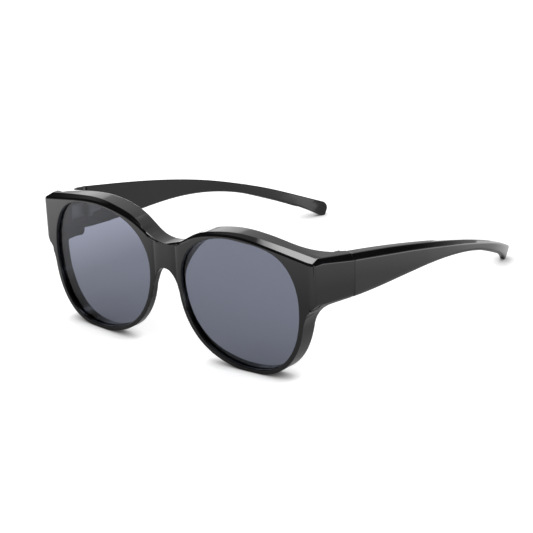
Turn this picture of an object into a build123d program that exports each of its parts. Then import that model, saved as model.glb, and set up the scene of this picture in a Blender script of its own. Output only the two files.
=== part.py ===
from build123d import *
import math
import os

# Fitover sunglasses, in millimetres. X runs across the face, Y from the front back to the temple tips,
# Z up. The pair stands on its rim bottoms and temple tips. Left and right are the wearer's: left is +X.

# Overall
half_front = 71.8             # centre to the corner between front and side
brow_height = 58.7            # highest point of the front face
seam_depth = 27.8             # front apex back to the seam with the temple
temple_length = 159.0         # seam to the end of the tip

# Lenses and rims
bridge_gap = 16.6             # between the two lens openings
end_face = 6.9                # front face from the lens opening out to the corner
brow_face = 1.55              # front face over the lens opening
rim_width = 2.0               # front face round the lens
foot_flat = 0.25              # how much of the rim's bottom is flattened where it stands
lens_thickness = 1.2
lens_setback = 1.6            # from the front face back to the lens
plate_thickness = 3.6         # front face back to the hollow behind the lens
groove_depth = 0.8
groove_clearance = 0.04
lens_outline_shares = [
    (0.0, 1.0), (-0.44, 0.94), (-0.80, 0.715), (-0.965, 0.42), (-0.985, 0.02), (-0.86, -0.41),
    (-0.60, -0.745), (-0.21, -0.945), (0.22, -1.0), (0.60, -0.895), (0.86, -0.60), (0.98, -0.20),
    (1.0, 0.09), (0.925, 0.53), (0.70, 0.845), (0.385, 0.97),
]
grown_points = 40             # points that a grown outline is drawn through
rim_steps = 400               # steps round the rim when its reach is looked up

# Front surface: part of a cylinder that leans forward at the top
front_radius = 438.0
front_lean = 3.85             # degrees
bevel_rise = 1.15
bevel_depth = 4.7
bevel_run = 3.0               # how far a bevel's cutting shape runs past the bevel
# along the brow: place across, height of the face's top edge, rise and depth of the bevel above it
brow_shares = [
    (0.0, 0.828, 0.0, 0.02), (0.093, 0.848, 0.05, 0.04), (0.145, 0.882, 0.25, 0.14),
    (0.206, 0.925, 0.65, 0.36), (0.354, 0.981, 0.8, 0.5), (0.515, 1.0, 0.9, 0.62),
    (0.687, 0.977, 0.95, 0.76), (0.844, 0.940, 1.0, 0.9), (1.0, 0.900, 1.0, 1.0), (1.12, 0.868, 1.0, 1.06),
    (1.25, 0.8333, 1.0, 1.12),
]
roof_start_share = 0.5        # place across where the hollow under the brow begins
bridge_height = 11.2          # face of the bridge at the middle
arch_half_width = 7.2
arch_shares = [(0.0, 1.0), (0.34, 0.982), (0.56, 0.94), (0.78, 0.85), (1.0, 0.74)]

# Depth of the moulding behind the front face
deck_depth = 10.4
deck_wall = 2.2
rear_place_shares = [0.0, 0.123, 0.258, 0.411, 0.576, 0.741, 0.874, 0.926, 0.961, 0.984, 0.996]
rear_low_shares = [0.35, 0.36, 0.42, 0.54, 0.66, 0.77, 0.80, 0.80, 0.88, 1.40, 2.2]
rear_deck_shares = [0.94, 0.95, 0.98, 1.04, 1.0, 1.0, 1.06, 1.25, 1.52, 1.86, 2.3]
rear_levels = 16              # steps up the rear surface
rear_first_level = -0.12      # heights as shares of the brow's
rear_last_level = 1.16
deck_blend_start = 0.56       # the wall deepens into the deck between these
deck_blend_end = 0.90

# End pieces
seam_gap = 0.2
side_flare = 6.0              # degrees
corner_radius = 3.0
corner_ease = 0.01            # by which the rounded corner's centre stands further out than a tangent one
end_bottom_share = 0.555      # underside as a share of the brow's height
step_height = 9.0             # of the curve from the rim out to the end piece
step_width = 3.4
step_sag = 0.6                # how far the curve's middle lies in from a straight line
end_inset = 2.0               # from the corner in to the inner face beside the seam
crest_depth = 8.5             # where the top begins to fall towards the temple
crest_fall = 7.7              # degrees
crest_blend_start = 0.72      # places across between which the top begins to fall, as shares of half_front
crest_blend_end = 0.92
side_bevel_width = 1.6
side_bevel_front_height = 1.9
side_bevel_seam_height = 2.6
low_bevel_front_width = 2.0
low_bevel_width = 0.8
low_bevel_front_height = 2.4
low_bevel_seam_height = 1.1

# Temples: each station has a top edge and a bottom edge, as shares of the temple's length and height
temple_top_place_shares = [0.0, 0.201, 0.403, 0.554, 0.679, 0.793, 0.887, 1.0]
temple_low_place_shares = [0.0, 0.201, 0.403, 0.550, 0.672, 0.778, 0.870, 0.975]
temple_top_shares = [1.0, 0.885, 0.747, 0.623, 0.500, 0.374, 0.254, 0.106]
temple_low_shares = [0.634, 0.603, 0.578, 0.513, 0.414, 0.288, 0.166, -0.018]
temple_side_shares = [1.0, 1.0, 0.995, 0.972, 0.933, 0.886, 0.822, 0.722]
temple_thickness = 4.5
temple_thin_shares = [1.0, 0.95, 0.85, 0.76, 0.70, 0.66, 0.64, 0.62]
temple_bevel_shares = [1.0, 1.0, 0.88, 0.70, 0.52, 0.40, 0.34, 0.30]
temple_tilt_shares = [1.0, 0.6, 0.3, 0.1, 0.0, 0.0, 0.0, 0.0]
tip_top_radius = 3.0
tip_low_radius = 1.8

# Hinges
pivot_inset = 1.9             # from the end piece's inner face to the pivot
knuckle_radius = 1.25
knuckle_height = 2.2
knuckle_gap = 0.05
pin_radius = 0.6
pin_clearance = 0.05
pin_head_radius = 1.05
pin_head_height = 0.6
slot_width = 0.3
slot_depth = 0.3
leaf_thickness = 0.9
leaf_length = 10.0
web_start = 0.25              # from the pivot to the web beside it
web_end = 1.25
leaf_clearance = 0.05
anchor_depth = 1.8            # of the tab that is set into the plastic behind each leaf
anchor_length = 4.0
anchor_height = 3.0
anchor_place_share = 0.58     # middle of the tab along the leaf

cut_overrun = 12.0            # how far cutting shapes run past what they cut

side_slope = math.tan(math.radians(side_flare))
lean_slope = math.tan(math.radians(front_lean))
crest_slope = math.tan(math.radians(crest_fall))
lens_width = half_front - bridge_gap / 2 - end_face
lens_height = brow_height - brow_face - rim_width + foot_flat
lens_middle = bridge_gap / 2 + lens_width / 2
lens_level = rim_width - foot_flat + lens_height / 2
end_bottom = end_bottom_share * brow_height
end_inner = half_front - end_inset
arch_height = brow_shares[0][1] * brow_height - bridge_height
corner_sag = front_radius - math.sqrt(front_radius ** 2 - half_front ** 2)
pivot_x = end_inner - pivot_inset
pivot_y = seam_depth + seam_gap / 2
temple_start = seam_depth + seam_gap
leaf_height = 3 * knuckle_height + 2 * knuckle_gap


def front_y(x, z):
    """Depth of the leaning front surface at a place across and a height."""
    sag = front_radius - math.sqrt(front_radius ** 2 - x ** 2)
    return sag / math.cos(math.radians(front_lean)) - z * lean_slope


def side_x(y, z):
    """Outer side of the end piece at a depth and a height."""
    lean = math.radians(front_lean)
    return half_front + (y * math.cos(lean) + z * math.sin(lean) - corner_sag) * side_slope


def brow_points(lift=0):
    """Places along the top of the deck, from the middle outwards."""
    return [
        (across * half_front, up * brow_height + rise * bevel_rise + lift)
        for across, up, rise, depth in brow_shares
    ]


brow_end = brow_points()[-2:]
brow_slope = (brow_end[0][1] - brow_end[1][1]) / (brow_end[1][0] - brow_end[0][0])


def crest_z(x, y):
    """Top of the deck and the end piece near the outer end of the brow."""
    x_end, z_end = brow_end[0]
    fall = max(0, y - crest_depth) * crest_slope
    return z_end - (x - x_end) * brow_slope - fall


temple_side = side_x(temple_start, (end_bottom + brow_height) / 2)
temple_top = crest_z(temple_side - side_bevel_width, temple_start)
hinge_height = (end_bottom + temple_top) / 2
hinge_low = hinge_height - leaf_height / 2


def upright(points):
    """Places across and up as points in the plane of the face."""
    return [Vector(x, 0, z) for x, z in points]


def prism(face, near, far):
    """An upright face carried from one depth to another."""
    return extrude(Pos(0, near, 0) * face, amount=far - near, dir=(0, 1, 0))


def behind_front(depth):
    """Everything behind the surface that lies this far behind the front face."""
    drum = Cylinder(front_radius - depth, 4 * brow_height)
    return Rot(X=front_lean) * Pos(0, front_radius, 0) * drum


def side_cutter():
    """What lies outside the flared side, with the corner between front and side rounded."""
    reach = half_front + 2 * cut_overrun
    far = 2 * (seam_depth + cut_overrun)
    along = Vector(side_slope, 1).normalized()
    inward = Vector(-along.Y, along.X)
    corner = Vector(half_front, corner_sag)
    drum_middle = Vector(0, front_radius)
    start = corner + inward * corner_radius - drum_middle
    facing = start.dot(along)
    slide = math.sqrt(facing ** 2 - start.dot(start) + (front_radius - corner_radius + corner_ease) ** 2) - facing
    if slide > corner_radius:
        slide = -facing - math.sqrt(facing ** 2 - start.dot(start) + (front_radius - corner_radius + corner_ease) ** 2)
    centre = drum_middle + start + along * slide
    on_side = centre - inward * corner_radius
    outward = (centre - drum_middle).normalized()
    on_front = centre + outward * corner_radius
    middle = centre + ((on_side - centre) + (on_front - centre)).normalized() * corner_radius
    arc = ThreePointArc(on_front, middle, on_side)
    rest = Polyline(
        on_side, corner + along * far, Vector(2 * reach, far), Vector(2 * reach, -far),
        on_front + outward * far, on_front,
    )
    return Rot(X=front_lean) * Pos(0, 0, -2 * brow_height) * extrude(make_face([arc, rest]), amount=4 * brow_height)


def solid_between(x_range, y_range, z_range):
    """A block between two places along each axis."""
    (x0, x1), (y0, y1), (z0, z1) = x_range, y_range, z_range
    return Pos((x0 + x1) / 2, (y0 + y1) / 2, (z0 + z1) / 2) * Box(x1 - x0, y1 - y0, z1 - z0)


def outline(curves):
    """A flat face within curves in the plane of the face, seen from the front."""
    face = make_face(curves).faces()[0]
    return -face if face.normal_at().Y > 0 else face


def lens_curve(grow=0):
    """The lens outline, grown outwards all round by the given length."""
    points = [
        (lens_middle + sx * lens_width / 2, lens_level + sz * lens_height / 2)
        for sx, sz in lens_outline_shares
    ]
    curve = Spline(*upright(points), periodic=True)
    if grow == 0:
        return curve
    grown = []
    for i in range(grown_points):
        along = curve % (i / grown_points)
        grown.append(curve @ (i / grown_points) + grow * Vector(along.Z, 0, -along.X))
    return Spline(*grown, periodic=True)


def lens_face(grow=0):
    """A flat face within the lens outline."""
    return outline([lens_curve(grow)])


def rim_reach(z):
    """How far from the middle of the face the rim reaches at a height."""
    curve = lens_curve(rim_width)
    points = [curve @ (i / rim_steps) for i in range(rim_steps + 1)]
    for a, b in zip(points, points[1:]):
        if a.X > lens_middle and min(a.Z, b.Z) <= z < max(a.Z, b.Z):
            return a.X + (b.X - a.X) * (z - a.Z) / (b.Z - a.Z)


def outer_prism(near, far):
    """Half of the front's outline carried back: rim, brow, half bridge and end piece."""
    high = brow_height + cut_overrun
    wide = half_front + cut_overrun
    arch = [(sx * arch_half_width, sz * arch_height) for sx, sz in arch_shares]
    rest = Polyline(*upright([
        arch[0], (0, high), (wide, high), (wide, end_bottom), (lens_middle, end_bottom),
        (lens_middle, arch[-1][1]), arch[-1],
    ]))
    under = Spline(*upright(arch[::-1]), tangents=[(-0.35, 0, 1), (-1, 0, 0)])
    foot = end_bottom - step_height
    reach = rim_reach(foot)
    step = Vector(step_width, 0, step_height)
    sag = Vector(-step_height, 0, step_width).normalized() * step_sag
    start, end = upright([(reach, foot), (reach + step_width, end_bottom)])
    bend = ThreePointArc(end, start + step / 2 + sag, start)
    fill = Polyline(start, *upright([
        (lens_middle, foot), (lens_middle, end_bottom + step_height), (reach + step_width, end_bottom + step_height),
    ]), end)
    upper = prism(outline([rest, under]), near, far)
    return upper + prism(outline([bend, fill]), near, far) + prism(lens_face(rim_width), near, far)


def corner_hollow(near, far):
    """The hollow beside the lens opening, under the brow and over the floor of the end piece."""
    wall_x = end_inner - leaf_thickness
    start_x = roof_start_share * half_front
    top = [p for p in brow_points(lift=-deck_wall) if start_x < p[0] < wall_x]
    wall_z = top[-1][1] - (wall_x - top[-1][0]) * brow_slope
    floor = end_bottom + deck_wall
    roof = Spline(*upright([*top, (wall_x, wall_z)]))
    rest = Polyline(*upright([(wall_x, wall_z), (wall_x, floor), (top[0][0], floor), top[0]]))
    return prism(outline([roof, rest]), near, far)


def rear_cutter():
    """Everything behind the moulding's rear edge: shallow at the nose, deep under the brow."""
    rows = []
    for step in range(rear_levels + 1):
        level = rear_first_level + (rear_last_level - rear_first_level) * step / rear_levels
        z = level * brow_height
        share = min(1, max(0, (level - deck_blend_start) / (deck_blend_end - deck_blend_start)))
        blend = math.sin(share * math.pi / 2) ** 2
        points = []
        for place, low, deck in zip(rear_place_shares, rear_low_shares, rear_deck_shares):
            depth = deck_depth * (low + (deck - low) * blend)
            x = place * end_inner
            points.append(Vector(x, front_y(x, z) + depth, z))
        points.insert(0, Vector(-points[1].X, points[1].Y, z))
        points.append(Vector(end_inner, temple_start, z))
        rows.append(points)
    surface = Face.make_surface_from_array_of_points(rows)
    return extrude(surface, amount=seam_depth + cut_overrun, dir=(0, 1, 0))


def solid_through(sections):
    """A solid whose long edges run smoothly through the corners of flat sections."""
    lines = [Spline(*points) for points in zip(*sections)]
    faces = [Face.make_surface_from_curves(a, b) for a, b in zip(lines, lines[1:] + lines[:1])]
    faces += [make_face(Polyline(*ends, ends[0])).faces()[0] for ends in (sections[0], sections[-1])]
    return Solid(Shell(faces))


def top_cutter():
    """Everything above the moulding: over the bevel, the deck and the falling top of the end piece."""
    far = 2 * (seam_depth + cut_overrun)
    high = brow_height + 2 * cut_overrun
    middle, beside = brow_shares[:2]
    sections = []
    for across, up, rise, depth in [(-beside[0], *beside[1:]), *brow_shares]:
        x = across * half_front
        z = up * brow_height
        edge = Vector(x, front_y(x, z), z)
        slant = Vector(0, depth * bevel_depth, rise * bevel_rise)
        front = edge - slant.normalized() * bevel_run
        back = edge + slant
        ridge_y = max(crest_depth, back.Y + rim_width)
        share = min(1, max(0, (across - crest_blend_start) / (crest_blend_end - crest_blend_start)))
        fall = (far - ridge_y) * crest_slope * share
        sections.append([
            Vector(x, -far, front.Z), front, back, Vector(x, ridge_y, back.Z), Vector(x, far, back.Z - fall),
            Vector(x, far, high), Vector(x, -far, high),
        ])
    return solid_through(sections)


def edge_cutter(line, outward):
    """A wedge taken off along the side: line gives both edges of the bevel at a depth."""
    sections = []
    for y in (-cut_overrun, crest_depth, temple_start):
        side, inner = line(y)
        run = (inner - side).normalized() * bevel_run
        low, high = side - run, inner + run
        corner = Vector(low.X + bevel_run, y, high.Z + outward * bevel_run)
        sections.append(make_face(Polyline(low, high, Vector(high.X, y, corner.Z), corner, low)))
    return loft(sections, ruled=True)


def side_bevel_line(y):
    """Both edges of the bevel along the top of the end piece."""
    grow = max(0, y - crest_depth) / (seam_depth - crest_depth)
    height = side_bevel_front_height + (side_bevel_seam_height - side_bevel_front_height) * grow
    x = side_x(y, brow_end[1][1] - side_bevel_front_height)
    z = crest_z(x - side_bevel_width, y)
    return Vector(x, y, z - height), Vector(x - side_bevel_width, y, z)


def low_bevel_line(y):
    """Both edges of the bevel along the bottom of the end piece."""
    grow = max(0, y - crest_depth) / (seam_depth - crest_depth)
    height = low_bevel_front_height + (low_bevel_seam_height - low_bevel_front_height) * grow
    width = low_bevel_front_width + (low_bevel_width - low_bevel_front_width) * grow
    x = side_x(y, end_bottom)
    return Vector(x, y, end_bottom + height), Vector(x - width, y, end_bottom)


def leaf_pocket(direction):
    """The recess that a hinge leaf sits in, ahead of the pivot or behind it."""
    ends = sorted([pivot_y - direction * knuckle_radius, pivot_y + direction * (leaf_length + leaf_clearance)])
    return solid_between(
        (pivot_x, end_inner + leaf_thickness),
        ends,
        (hinge_low - leaf_clearance, hinge_low + leaf_height + leaf_clearance),
    )


def anchor_block(direction, clearance=0):
    """The tab behind a leaf, or with a clearance the slot for it."""
    middle = pivot_y + direction * anchor_place_share * leaf_length
    face_x = end_inner + leaf_thickness
    return solid_between(
        (face_x - leaf_thickness / 2, face_x + anchor_depth + clearance),
        (middle - anchor_length / 2 - clearance, middle + anchor_length / 2 + clearance),
        (hinge_height - anchor_height / 2 - clearance, hinge_height + anchor_height / 2 + clearance),
    )


def make_half_front():
    """The left half of the front moulding."""
    far = seam_depth + cut_overrun
    wide = half_front + 2 * cut_overrun
    block = outer_prism(-cut_overrun, far) & behind_front(0)
    block -= side_cutter()
    block -= top_cutter()
    block -= prism(lens_face(), -cut_overrun, far)
    block -= corner_hollow(-cut_overrun, far) & behind_front(plate_thickness)
    groove = prism(lens_face(groove_depth), -cut_overrun, far) & behind_front(lens_setback - groove_clearance)
    block -= groove - behind_front(lens_setback + lens_thickness + groove_clearance)
    block -= rear_cutter()
    block -= edge_cutter(side_bevel_line, 1)
    block -= edge_cutter(low_bevel_line, -1)
    wide_range = (-cut_overrun, wide)
    block -= solid_between(wide_range, (seam_depth, far + cut_overrun), (-cut_overrun, 2 * brow_height))
    block -= solid_between(wide_range, (-cut_overrun, far), (-cut_overrun, 0))
    block -= leaf_pocket(-1)
    return block - anchor_block(-1, leaf_clearance)


def make_lens():
    """A curved lens that sits in the groove of the rim."""
    far = seam_depth + cut_overrun
    slab = prism(lens_face(groove_depth - groove_clearance), -cut_overrun, far) & behind_front(lens_setback)
    return slab - behind_front(lens_setback + lens_thickness)


def temple_corners(index):
    """The corners of one cross-section of the temple, with a bevel along its outer top and bottom edges."""
    top_y = temple_start + temple_top_place_shares[index] * temple_length
    low_y = temple_start + temple_low_place_shares[index] * temple_length
    outer = temple_side_shares[index] * temple_side
    inner = outer - temple_thin_shares[index] * temple_thickness
    bevel = temple_bevel_shares[index]
    width = bevel * side_bevel_width
    tilt = temple_tilt_shares[index] * brow_slope * (outer - width - inner)
    low = Vector(0, low_y, temple_low_shares[index] * temple_top)
    top = Vector(0, top_y, temple_top_shares[index] * temple_top)
    up = (top - low).normalized()
    corners = [
        (inner, low), (outer - bevel * low_bevel_width, low),
        (outer, low + up * bevel * low_bevel_seam_height),
        (outer, top - up * bevel * side_bevel_seam_height),
        (outer - width, top), (inner, top + up * tilt),
    ]
    return [Vector(x, 0, 0) + place for x, place in corners]


def corner_cutter(corner, along, down, radius):
    """What rounding a corner takes off, right across the temple; along and down point away from the corner."""
    along, down = along.normalized(), down.normalized()
    half_angle = along.get_angle(down) / 2
    reach = radius / math.tan(math.radians(half_angle))
    bisector = (along + down).normalized()
    centre = corner + bisector * (radius / math.sin(math.radians(half_angle)))
    first, last = corner + along * reach, corner + down * reach
    arc = ThreePointArc(last, centre - bisector * radius, first)
    rest = Polyline(
        first, first - down * cut_overrun, corner - (along + down) * cut_overrun,
        last - along * cut_overrun, last,
    )
    return extrude(make_face([arc, rest]), amount=2 * half_front, dir=(1, 0, 0))


def make_temple():
    """A temple that starts flush with the end piece, runs back and curves down and in to its tip."""
    sections = [temple_corners(i) for i in range(len(temple_top_shares))]
    body = solid_through(sections)
    low_before, top_before, low, top = [
        Vector(0, corner.Y, corner.Z) for ends in sections[-2:] for corner in (ends[1], ends[4])
    ]
    body -= corner_cutter(top, top_before - top, low - top, tip_top_radius)
    body -= corner_cutter(low, low_before - low, top - low, tip_low_radius)
    body -= solid_between((0, 2 * half_front), (0, 2 * temple_length), (-cut_overrun, 0))
    body -= leaf_pocket(1)
    return body - anchor_block(1, leaf_clearance)


def make_leaf(direction, knuckles):
    """A hinge leaf: a flat plate with knuckles round the pin. knuckles are counted from the bottom."""
    near, far = pivot_y + direction * web_start, pivot_y + direction * leaf_length
    plate = solid_between(
        (end_inner, end_inner + leaf_thickness), sorted([near, far]), (hinge_low, hinge_low + leaf_height),
    )
    leaf = plate
    for number in knuckles:
        low = hinge_low + number * (knuckle_height + knuckle_gap)
        barrel = Pos(pivot_x, pivot_y, low + knuckle_height / 2) * Cylinder(knuckle_radius, knuckle_height)
        web = solid_between(
            (pivot_x, end_inner + leaf_thickness), sorted([near, pivot_y + direction * web_end]),
            (low, low + knuckle_height),
        )
        leaf += barrel + web
    leaf -= Pos(pivot_x, pivot_y, hinge_height) * Cylinder(pin_radius + pin_clearance, 2 * leaf_height)
    return leaf + anchor_block(direction)


def make_pin():
    """The slotted screw that the hinge turns on."""
    top = hinge_low + leaf_height
    shank = Pos(pivot_x, pivot_y, hinge_height) * Cylinder(pin_radius, leaf_height)
    head = Pos(pivot_x, pivot_y, top + pin_head_height / 2) * Cylinder(pin_head_radius, pin_head_height)
    slot_top = top + pin_head_height
    slot = solid_between(
        (pivot_x - 2 * pin_head_radius, pivot_x + 2 * pin_head_radius),
        (pivot_y - slot_width / 2, pivot_y + slot_width / 2),
        (slot_top - slot_depth, slot_top + pin_head_height),
    )
    return shank + head - slot


half_moulding = make_half_front()
front = half_moulding + mirror(half_moulding, about=Plane.YZ)
left_nodes = {
    "lens": make_lens(),
    "temple": make_temple(),
    "front_hinge_leaf": make_leaf(-1, (0, 2)),
    "temple_hinge_leaf": make_leaf(1, (1,)),
    "hinge_screw": make_pin(),
}
# a leaf is alike above and below its middle, so the right side has the same leaf turned over
turned_over = ("front_hinge_leaf", "temple_hinge_leaf")
nodes = {"front_frame": front}
for name, solid in left_nodes.items():
    nodes[name + "_left"] = solid
    if name in turned_over:
        nodes[name + "_right"] = Pos(0, 0, 2 * hinge_height) * Rot(Y=180) * solid
    else:
        nodes[name + "_right"] = mirror(solid, about=Plane.YZ)

nearest = front.bounding_box().min.Y
farthest = nodes["temple_left"].bounding_box().max.Y
centre_shift = -(nearest + farthest) / 2

os.makedirs("parts", exist_ok=True)
for name, solid in nodes.items():
    export_step(Pos(0, centre_shift, 0) * solid, f"parts/{name}.step")
print(f"pivots at x {pivot_x:.3f}, y {pivot_y + centre_shift:.3f}, z {hinge_height:.3f}; shift {centre_shift:.3f}")
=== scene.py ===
import math

import bmesh
import bpy
import numpy as np
from mathutils import Matrix, Vector
from mathutils.bvhtree import BVHTree


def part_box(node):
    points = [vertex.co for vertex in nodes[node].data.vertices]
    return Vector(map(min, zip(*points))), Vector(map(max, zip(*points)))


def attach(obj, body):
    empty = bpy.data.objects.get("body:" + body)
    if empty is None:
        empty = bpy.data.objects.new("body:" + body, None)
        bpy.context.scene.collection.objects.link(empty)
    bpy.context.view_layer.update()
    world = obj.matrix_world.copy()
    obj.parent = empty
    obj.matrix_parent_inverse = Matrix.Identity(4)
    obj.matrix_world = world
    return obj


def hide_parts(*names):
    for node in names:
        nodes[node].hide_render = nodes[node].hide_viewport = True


# Looks of the fitover sunglasses: gloss black moulding and temples, grey lenses, steel hinges.

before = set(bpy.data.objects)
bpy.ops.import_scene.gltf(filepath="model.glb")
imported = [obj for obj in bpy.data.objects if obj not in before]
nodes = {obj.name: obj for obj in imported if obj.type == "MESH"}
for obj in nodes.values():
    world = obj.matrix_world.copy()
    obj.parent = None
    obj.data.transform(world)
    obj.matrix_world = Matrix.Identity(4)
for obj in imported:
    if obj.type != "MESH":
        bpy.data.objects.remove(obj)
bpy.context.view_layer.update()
sides = ("left", "right")
mm = 0.001


def newMaterial(name):
    material = bpy.data.materials.new(name)
    material.use_nodes = True
    tree = material.node_tree
    return material, tree, tree.nodes["Principled BSDF"]


def addNode(tree, kind, place, **values):
    node = tree.nodes.new(kind)
    node.location = place
    for name, value in values.items():
        setattr(node, name, value)
    return node


def setInputs(node, **values):
    # an underscore in a name stands for a space
    for name, value in values.items():
        node.inputs[name.replace("_", " ")].default_value = value


def joinAll(tree, *pairs):
    for source, target in pairs:
        tree.links.new(source, target)


def objectPoint(tree, place):
    return addNode(tree, "ShaderNodeTexCoord", place).outputs["Object"]


def mapped(tree, source, fromRange, toRange, place, kind="LINEAR"):
    # carries a value from one range to another, held at its ends
    node = addNode(tree, "ShaderNodeMapRange", place, interpolation_type=kind)
    setInputs(node, From_Min=fromRange[0], From_Max=fromRange[1], To_Min=toRange[0], To_Max=toRange[1])
    tree.links.new(source, node.inputs["Value"])
    return node.outputs["Result"]


def maths(tree, operation, a, b, place):
    # a is a socket, b a socket or a number
    node = addNode(tree, "ShaderNodeMath", place, operation=operation)
    tree.links.new(a, node.inputs[0])
    if isinstance(b, float):
        node.inputs[1].default_value = b
    else:
        tree.links.new(b, node.inputs[1])
    return node.outputs["Value"]


def blended(tree, factor, first, second, place):
    # the first colour where the factor is 0, the second where it is 1
    node = addNode(tree, "ShaderNodeMix", place, data_type="RGBA")
    setInputs(node, A=first, B=second)
    tree.links.new(factor, node.inputs["Factor"])
    return node.outputs["Result"]


handlingMarks = {
    "hazeSize": 60.0,
    "hazeDetail": 5.0,
    "hazeDistortion": 0.6,
    "hazeFrom": (0.42, 0.78),               # noise at which a patch of haze starts and is full
    "dustSize": 2600.0,
    "dustFrom": (0.03, 0.09),               # distances from a speck's middle at which it is full and gone
    "scratchSize": 900.0,
    "scratchDetail": 2.0,
    "scratchTurn": (0.3, 0.5, 0.8),         # in radians
    "scratchStretch": (1.0, 0.02, 1.0),     # draws the noise out into hairlines
    "scratchFrom": (0.70, 0.80),            # noise at which a scratch starts and is full
}


def makeHandling(look):
    # marks of handling on polished plastic: faint haze in patches, fine dust and hairline scratches
    group = bpy.data.node_groups.new("handlingMarks", "ShaderNodeTree")
    face = group.interface
    for name in ("Haze", "Dust", "Scratch"):
        size = face.new_socket(f"{name} Size", in_out="INPUT", socket_type="NodeSocketFloat")
        size.default_value = look[f"{name.lower()}Size"]
    for name in ("Haze", "Dust", "Scratches"):
        face.new_socket(name, in_out="OUTPUT", socket_type="NodeSocketFloat")
    start = addNode(group, "NodeGroupInput", (-900, 0))
    end = addNode(group, "NodeGroupOutput", (500, 0))
    point = objectPoint(group, (-900, 300))

    haze = addNode(group, "ShaderNodeTexNoise", (-500, 300))
    setInputs(haze, Detail=look["hazeDetail"], Distortion=look["hazeDistortion"])
    dust = addNode(group, "ShaderNodeTexVoronoi", (-500, 0))
    stretch = addNode(group, "ShaderNodeMapping", (-700, -300))
    setInputs(stretch, Rotation=look["scratchTurn"], Scale=look["scratchStretch"])
    scratch = addNode(group, "ShaderNodeTexNoise", (-500, -300))
    setInputs(scratch, Detail=look["scratchDetail"])

    hazy = mapped(group, haze.outputs["Fac"], look["hazeFrom"], (0.0, 1.0), (-200, 300))
    dusty = mapped(group, dust.outputs["Distance"], look["dustFrom"], (1.0, 0.0), (-200, 0))
    scratched = mapped(group, scratch.outputs["Fac"], look["scratchFrom"], (0.0, 1.0), (-200, -300))
    joinAll(
        group,
        (point, haze.inputs["Vector"]),
        (point, dust.inputs["Vector"]),
        (point, stretch.inputs["Vector"]),
        (stretch.outputs["Vector"], scratch.inputs["Vector"]),
        (start.outputs["Haze Size"], haze.inputs["Scale"]),
        (start.outputs["Dust Size"], dust.inputs["Scale"]),
        (start.outputs["Scratch Size"], scratch.inputs["Scale"]),
        (hazy, end.inputs["Haze"]),
        (dusty, end.inputs["Dust"]),
        (scratched, end.inputs["Scratches"]),
    )
    return group


handling = makeHandling(handlingMarks)


def addMarks(tree, hazeSize):
    node = addNode(tree, "ShaderNodeGroup", (-900, 0), node_tree=handling)
    node.inputs["Haze Size"].default_value = hazeSize
    return node.outputs


glossPlastic = {
    "name": "glossBlackPlastic",
    "colour": (0.0035, 0.0035, 0.0040, 1),
    "dusty": (0.012, 0.012, 0.013, 1),
    "roughness": (0.045, 0.10),     # polished, and under full haze
    "scratch": 0.10,                # roughness that a scratch adds
    "hazeSize": 60.0,
    "rippleSize": 120.0,            # slow waves that moulding leaves in the surface
    "rippleDetail": 1.0,
    "ripple": 0.04,
    "rippleHeight": 0.3 * mm,
    "ior": 1.5,
}


def makePlastic(look):
    material, tree, shader = newMaterial(look["name"])
    marks = addMarks(tree, look["hazeSize"])
    colour = blended(tree, marks["Dust"], look["colour"], look["dusty"], (-400, 300))
    haze = mapped(tree, marks["Haze"], (0.0, 1.0), look["roughness"], (-600, 0))
    scratch = maths(tree, "MULTIPLY", marks["Scratches"], look["scratch"], (-600, -150))
    ripple = addNode(tree, "ShaderNodeTexNoise", (-650, -400))
    setInputs(ripple, Scale=look["rippleSize"], Detail=look["rippleDetail"])
    bump = addNode(tree, "ShaderNodeBump", (-300, -400))
    setInputs(bump, Strength=look["ripple"], Distance=look["rippleHeight"])
    joinAll(
        tree,
        (colour, shader.inputs["Base Color"]),
        (maths(tree, "ADD", haze, scratch, (-400, -50)), shader.inputs["Roughness"]),
        (objectPoint(tree, (-900, -400)), ripple.inputs["Vector"]),
        (ripple.outputs["Fac"], bump.inputs["Height"]),
        (bump.outputs["Normal"], shader.inputs["Normal"]),
    )
    shader.inputs["IOR"].default_value = look["ior"]
    return material


tintedLens = {
    "name": "greyTintedLens",
    # lower down the tint is darker: painted shade, standing in for the shadowed floor seen through the
    # lower lens
    "top": (0.186, 0.199, 0.258, 1),
    "bottom": (0.158, 0.171, 0.216, 1),
    "riseShare": 0.55,              # share of the lens's height over which the painted shade at the bottom turns to the top colour
    "roughness": (0.0, 0.006),      # clean, and under full haze
    "hazeSize": 30.0,
    "ior": 1.33,                    # of the coating, which mirrors less than bare plastic
}


def makeTint(look):
    material, tree, shader = newMaterial(look["name"])
    marks = addMarks(tree, look["hazeSize"])
    split = addNode(tree, "ShaderNodeSeparateXYZ", (-900, 300))
    low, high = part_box("lens_left")
    full = low.z + (high.z - low.z) * look["riseShare"]
    # the lens darkens towards its bottom: painted shade, not a tint of the glass
    rise = mapped(tree, split.outputs["Z"], (low.z, full), (0.0, 1.0), (-700, 300))
    joinAll(
        tree,
        (objectPoint(tree, (-1100, 300)), split.inputs["Vector"]),
        (blended(tree, rise, look["bottom"], look["top"], (-400, 300)), shader.inputs["Base Color"]),
        (mapped(tree, marks["Haze"], (0.0, 1.0), look["roughness"], (-600, 0)), shader.inputs["Roughness"]),
    )
    shader.inputs["IOR"].default_value = look["ior"]
    shader.inputs["Transmission Weight"].default_value = 1.0
    return material


brushedSteel = {
    "name": "brushedHingeSteel",
    "light": (0.40, 0.40, 0.41, 1),
    "dark": (0.16, 0.16, 0.17, 1),
    "roughness": (0.46, 0.26),      # in the grooves of the brushing, and on its ridges
    "grainSize": 9000.0,
    "grainDetail": 3.0,
    "stretch": (1.0, 0.05, 1.0),    # the brushing runs along the temples
    "bump": 0.2,
    "bumpHeight": 0.02 * mm,
}


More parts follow.
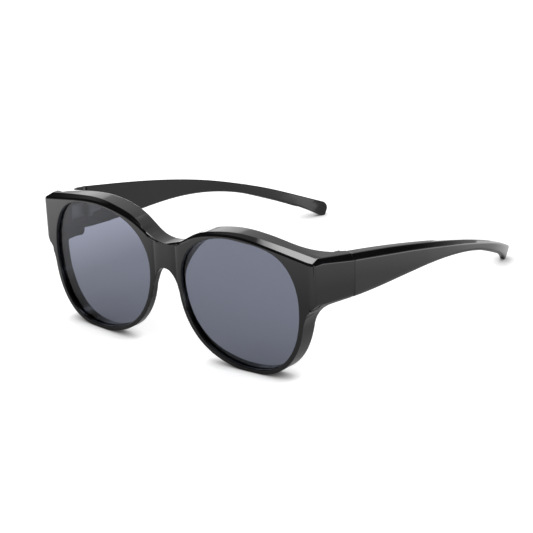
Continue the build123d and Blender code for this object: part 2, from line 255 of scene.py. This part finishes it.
def makeSteel(look):
    material, tree, shader = newMaterial(look["name"])
    stretch = addNode(tree, "ShaderNodeMapping", (-900, 0))
    setInputs(stretch, Scale=look["stretch"])
    noise = addNode(tree, "ShaderNodeTexNoise", (-700, 0))
    setInputs(noise, Scale=look["grainSize"], Detail=look["grainDetail"])
    grain = noise.outputs["Fac"]
    bump = addNode(tree, "ShaderNodeBump", (-300, -400))
    setInputs(bump, Strength=look["bump"], Distance=look["bumpHeight"])
    joinAll(
        tree,
        (objectPoint(tree, (-1100, 0)), stretch.inputs["Vector"]),
        (stretch.outputs["Vector"], noise.inputs["Vector"]),
        (grain, bump.inputs["Height"]),
        (blended(tree, grain, look["dark"], look["light"], (-400, 300)), shader.inputs["Base Color"]),
        (mapped(tree, grain, (0.0, 1.0), look["roughness"], (-500, -100)), shader.inputs["Roughness"]),
        (bump.outputs["Normal"], shader.inputs["Normal"]),
    )
    shader.inputs["Metallic"].default_value = 1.0
    return material


plastic = makePlastic(glossPlastic)
tint = makeTint(tintedLens)
steel = makeSteel(brushedSteel)
print("materials made")

# angles are in degrees; facing is the least share of a face's normal that points that way
finish = {
    "merge": 0.002 * mm,
    "flat": 0.6,                # between faces that count as one flat area
    "sharp": 24.0,              # past which an edge is sharp, and rounded where its piece is
    "topCrease": 7.0,           # past which shading breaks on faces that look up, where bevels are shallow
    "topFacing": 0.8,
    "round": 0.35 * mm,
    "segments": 3,
    "wideRound": 0.8 * mm,      # on the strip above the lenses, front corners and undersides of the arms
    "stripTilt": (0.25, 0.97),  # upward share of that strip's normals
    "stripFacing": 0.2,
    "frontFacing": 0.7,
    "downFacing": 0.5,
    "cornerSide": 66 * mm,      # how far out the front corners begin, and how high up
    "cornerLow": 31 * mm,
    "armSide": 64 * mm,         # how far out the undersides of the end pieces begin
    "armBand": (25 * mm, 36 * mm),      # their lowest height, and the highest of any underside
    "templeSpan": (-60 * mm, 76 * mm),  # where the temples begin and end
    "overshoot": 0.3 * mm,      # a rounding's point farther than this from the node goes back onto it
}
bridgeLines = {
    "places": (-5.75 * mm, 5.75 * mm),
    "depth": 0.60 * mm,
    "spread": 1.3 * mm,         # over which a line's sides rise back to the face
    "cuts": np.array((-4.5, -3.0, -2.0, -1.3, -0.8, -0.4, -0.15, 0.15, 0.4, 0.8, 1.3, 2.0, 3.0, 4.5)) * mm,
    "snap": 0.01 * mm,          # a point nearer than this to a cut lies on it
    "margin": 0.1 * mm,         # past the outermost cut, still sunk
    "facing": 0.9,              # least forward share of the normals on the face
}


def sinkLines(work, lines):
    # two upright lines on the bridge's face: sunk by depth times e to the minus distance over spread
    facing = lines["facing"]
    for middle in lines["places"]:
        for cut in lines["cuts"]:
            front = [f for f in work.faces if -f.normal.y > facing]
            edges = {e for f in front for e in f.edges}
            points = {v for f in front for v in f.verts}
            bmesh.ops.bisect_plane(
                work, geom=front + list(edges) + list(points), dist=lines["snap"],
                plane_co=(middle + cut, 0, 0), plane_no=(1, 0, 0),
            )
    reach = max(abs(p) for p in lines["places"]) + max(lines["cuts"]) + lines["margin"]
    work.normal_update()
    points = {v for f in work.faces if -f.normal.y > facing for v in f.verts}
    points = [v for v in points if abs(v.co.x) < reach]
    x = np.array([v.co.x for v in points])
    sink = sum(lines["depth"] * np.exp(-np.abs(x - middle) / lines["spread"]) for middle in lines["places"])
    for point, back in zip(points, sink):
        point.co.y += back


def isWide(edge):
    # whether an edge takes the wide rounding, by the normals of its faces and the place of its middle
    normals = [face.normal for face in edge.link_faces]
    middle = (edge.verts[0].co + edge.verts[1].co) / 2
    side = abs(middle.x)
    low, high = finish["stripTilt"]
    onStrip = any(low < n.z < high and -n.y > finish["stripFacing"] for n in normals)
    onFront = any(-n.y > finish["frontFacing"] for n in normals)
    atCorner = onFront and side > finish["cornerSide"] and middle.z > finish["cornerLow"]
    low, high = finish["armBand"]
    start, end = finish["templeSpan"]
    onTemple = start < middle.y < end
    onEndPiece = middle.y < start and side > finish["armSide"] and middle.z > low
    looksDown = any(-n.z > finish["downFacing"] for n in normals)
    lengthwise = all(abs(n.y) < finish["frontFacing"] for n in normals)
    underArm = (onTemple or onEndPiece) and middle.z < high and looksDown and lengthwise
    return onStrip or atCorner or underArm


def keepNear(piece, mesh):
    # the piece's rounded mesh, with its overshooting points put back onto the mesh that it came from
    shaped = bpy.data.meshes.new_from_object(piece.evaluated_get(bpy.context.evaluated_depsgraph_get()))
    surface = BVHTree.FromPolygons([v.co for v in mesh.vertices], [face.vertices for face in mesh.polygons])
    for vertex in shaped.vertices:
        point, _, _, distance = surface.find_nearest(vertex.co)
        if distance > finish["overshoot"]:
            vertex.co = point
    return shaped


def dress(name, node, body, material, rounded=False, lines=None):
    # a merged copy of a node in its place: flat areas joined, soft edges shaded smooth, and sharp ones
    # rounded where asked, by the width that each edge's weight says
    mesh = nodes[node].data.copy()
    mesh.name = name
    work = bmesh.new()
    work.from_mesh(mesh)
    bmesh.ops.remove_doubles(work, verts=work.verts, dist=finish["merge"])
    bmesh.ops.dissolve_degenerate(work, edges=work.edges, dist=finish["merge"])
    flat = math.radians(finish["flat"])
    bmesh.ops.dissolve_limit(work, angle_limit=flat, verts=work.verts, edges=work.edges)
    if lines:
        sinkLines(work, lines)
    for face in work.faces:
        face.smooth = True
    weight = work.edges.layers.float.new("bevel_weight_edge")
    for edge in work.edges:
        turn = math.degrees(edge.calc_face_angle(math.pi))
        onTop = all(face.normal.z > finish["topFacing"] for face in edge.link_faces)
        edge.smooth = turn < (finish["topCrease"] if onTop else finish["sharp"])
        if turn > finish["sharp"]:
            edge[weight] = 1.0 if isWide(edge) else finish["round"] / finish["wideRound"]
    work.to_mesh(mesh)
    work.free()
    mesh.materials.clear()
    mesh.materials.append(material)
    piece = bpy.data.objects.new(name, mesh)
    bpy.context.scene.collection.objects.link(piece)
    if rounded:
        bevel = piece.modifiers.new("roundEdges", "BEVEL")
        bevel.width = finish["wideRound"]
        bevel.segments = finish["segments"]
        bevel.limit_method = "WEIGHT"
        bevel.use_clamp_overlap = False
        piece.data = keepNear(piece, mesh)
        piece.modifiers.remove(bevel)
        even = piece.modifiers.new("evenShading", "WEIGHTED_NORMAL")
        even.keep_sharp = True
    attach(piece, body)
    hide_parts(node)


dress("frontMoulding", "front_frame", "front", plastic, rounded=True, lines=bridgeLines)
for side in sides:
    arm = f"temple_{side}_arm"
    dress(f"temple_{side}_shell", f"temple_{side}", arm, plastic, rounded=True)
    dress(f"lens_{side}_pane", f"lens_{side}", "front", tint)

# what is still the CAD's own: leaves and screws of the hinges
for node in nodes.values():
    if not node.hide_render:
        node.data.materials.clear()
        node.data.materials.append(steel)
print("pieces made")

floorLook = {
    "half": 3.0,
    "colour": (0.80, 0.80, 0.80, 1),
    "inGloss": (0.62, 0.62, 0.62, 1),   # the colour that gloss mirrors
    "rough": 0.7,
    "seen": 0.50,                       # glow that the camera sees, so that bare floor is white
    "seenThrough": 0.34,                # the same through a lens
    "contact": 6 * mm,                  # reach of the painted contact shadow, darkening the floor's colour and glow where the object touches
    "glow": 1.6,                        # that gloss sees far from the object
    "glowMiddle": (0.03, -0.03, 0),
    "glowFrom": (0.12, 0.27),           # distances from there between which it rises
}


def makeFloor(look):
    # pale, and keeps the shadows; its glow differs for the camera, for lenses and for gloss
    half = look["half"]
    corners = [(-half, -half, 0), (half, -half, 0), (half, half, 0), (-half, half, 0)]
    mesh = bpy.data.meshes.new("floor")
    mesh.from_pydata(corners, [], [(0, 1, 2, 3)])
    floor = bpy.data.objects.new("floor", mesh)
    bpy.context.scene.collection.objects.link(floor)
    material, tree, shader = newMaterial("paleFloor")
    shader.inputs["Roughness"].default_value = look["rough"]
    shader.inputs["Specular IOR Level"].default_value = 0.0
    shader.inputs["Emission Color"].default_value = (1, 1, 1, 1)
    path = addNode(tree, "ShaderNodeLightPath", (-1300, -300)).outputs
    away = addNode(tree, "ShaderNodeVectorMath", (-1100, 300), operation="DISTANCE")
    away.inputs[1].default_value = look["glowMiddle"]
    # ambient occlusion darkens the floor's colour and its glow near the object: a painted contact shadow
    contactShadow = addNode(tree, "ShaderNodeAmbientOcclusion", (-1100, 600))
    setInputs(contactShadow, Distance=look["contact"])
    pale = blended(tree, path["Is Glossy Ray"], look["colour"], look["inGloss"], (-1100, 900))
    joinAll(
        tree,
        (objectPoint(tree, (-1300, 300)), away.inputs[0]),
        (pale, contactShadow.inputs["Color"]),
        (contactShadow.outputs["Color"], shader.inputs["Base Color"]),
    )
    far = mapped(tree, away.outputs["Value"], look["glowFrom"], (0.0, look["glow"]), (-900, 300))
    inGloss = maths(tree, "MULTIPLY", far, path["Is Glossy Ray"], (-500, 0))
    inView = maths(tree, "MULTIPLY", path["Is Camera Ray"], look["seen"], (-500, -300))
    inLens = maths(tree, "MULTIPLY", path["Is Transmission Ray"], look["seenThrough"], (-500, -500))
    shown = maths(tree, "ADD", inView, inLens, (-300, -400))
    shadowed = maths(tree, "MULTIPLY", shown, contactShadow.outputs["AO"], (-200, -300))
    tree.links.new(maths(tree, "ADD", inGloss, shadowed, (-100, -100)), shader.inputs["Emission Strength"])
    mesh.materials.append(material)


# a patch: its direction, degrees from there at which it stops being full and is gone, brightness
studio = {
    "dome": 1.0,
    "horizon": (0.04, 0.22),    # rise over which the studio goes from its low brightness to its dark one
    "low": 0.6,
    "dark": 0.02,
    "patches": [
        ((-0.318, 0.786, 0.530), 26.0, 36.0, 0.75),
        ((-0.087, 0.492, 0.866), 10.0, 17.5, 8.0),
        ((0.10, -0.17, 0.98), 6.0, 20.0, 0.8),
        ((-0.650, 0.735, 0.191), 6.0, 13.0, 1.35),
    ],
}


def makeWorld(look):
    # an even dome lights the object; gloss mirrors a dark studio, pale low down, with bright patches
    world = bpy.data.worlds.new("studio")
    bpy.context.scene.world = world
    world.use_nodes = True
    tree = world.node_tree
    background = tree.nodes["Background"]
    background.inputs["Color"].default_value = (1, 1, 1, 1)
    toward = addNode(tree, "ShaderNodeTexCoord", (-1300, 0)).outputs["Generated"]
    split = addNode(tree, "ShaderNodeSeparateXYZ", (-1100, 0))
    tree.links.new(toward, split.inputs["Vector"])
    ends = (look["low"], look["dark"])
    light = mapped(tree, split.outputs["Z"], look["horizon"], ends, (-700, 300), "SMOOTHSTEP")
    for row, (direction, inner, outer, strength) in enumerate(look["patches"]):
        down = -300 * row
        cosine = addNode(tree, "ShaderNodeVectorMath", (-900, down), operation="DOT_PRODUCT")
        cosine.inputs[1].default_value = Vector(direction).normalized()
        tree.links.new(toward, cosine.inputs[0])
        ends = (math.cos(math.radians(outer)), math.cos(math.radians(inner)))
        patch = mapped(tree, cosine.outputs["Value"], ends, (0.0, strength), (-700, down), "SMOOTHSTEP")
        light = maths(tree, "MAXIMUM", light, patch, (-450, down))
    path = addNode(tree, "ShaderNodeLightPath", (-450, 600)).outputs
    pick = addNode(tree, "ShaderNodeMix", (-200, 0), data_type="FLOAT")
    pick.inputs["A"].default_value = look["dome"]
    joinAll(
        tree,
        (path["Is Glossy Ray"], pick.inputs["Factor"]),
        (light, pick.inputs["B"]),
        (pick.outputs["Result"], background.inputs["Strength"]),
    )


camera = {
    "place": (0.5160, -0.7063, 0.3323),
    "azimuth": 37.086,          # degrees, from straight in front towards the wearer's left
    "elevation": 20.179,
    "lens": 139.41,
    "sensor": 36.0,
    "nearest": 10 * mm,
}


def addCamera(look):
    azimuth, elevation = math.radians(look["azimuth"]), math.radians(look["elevation"])
    back = Vector((
        math.sin(azimuth) * math.cos(elevation),
        -math.cos(azimuth) * math.cos(elevation),
        math.sin(elevation),
    ))
    right = Vector((math.cos(azimuth), math.sin(azimuth), 0))
    data = bpy.data.cameras.new("camera")
    data.lens = look["lens"]
    data.sensor_width = look["sensor"]
    data.clip_start = look["nearest"]
    eye = bpy.data.objects.new("camera", data)
    turn = Matrix((right, back.cross(right), back)).transposed().to_4x4()
    eye.matrix_world = Matrix.Translation(look["place"]) @ turn
    bpy.context.scene.collection.objects.link(eye)
    bpy.context.scene.camera = eye


makeFloor(floorLook)
makeWorld(studio)
addCamera(camera)
bpy.context.scene.view_settings.view_transform = "Standard"
print("stage and camera made")
